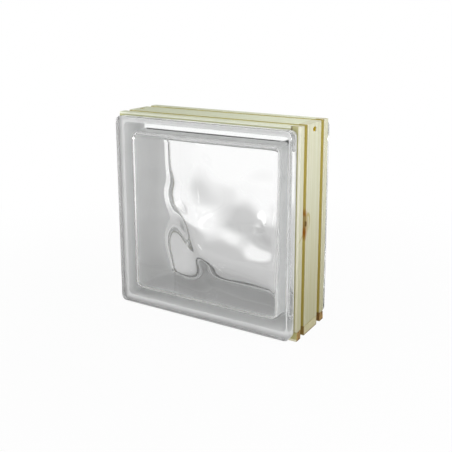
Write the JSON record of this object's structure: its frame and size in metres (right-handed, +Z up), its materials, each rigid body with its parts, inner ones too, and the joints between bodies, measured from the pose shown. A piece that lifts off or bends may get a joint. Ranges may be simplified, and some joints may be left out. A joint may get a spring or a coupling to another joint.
{
  "type": "glass block with pine edging",
  "caption": "Square hollow glass block with wavy inner faces, its edge channel filled by a butt-jointed frame of grooved pine rails that stand proud of the flanges.",
  "frame": {"origin": "middle of the underside, on the plane of the bottom rail's ridges", "axes": "+X to the right along the front face, +Y from the front glass face to the back one, +Z up"},
  "size_m": [0.1952, 0.08, 0.1952],
  "materials": {
    "glass": "clear colourless pressed glass, smooth outside and wavy inside, with a pale grey coat on the edge channel",
    "pine": "bare pale planed pine with fine straight grain and small knots"
  },
  "bodies": {
    "root": {"front_glass_half": "glass", "back_glass_half": "glass", "bottom_rail": "pine", "right_rail": "pine", "top_rail": "pine", "left_rail": "pine"}
  },
  "joints": []
}
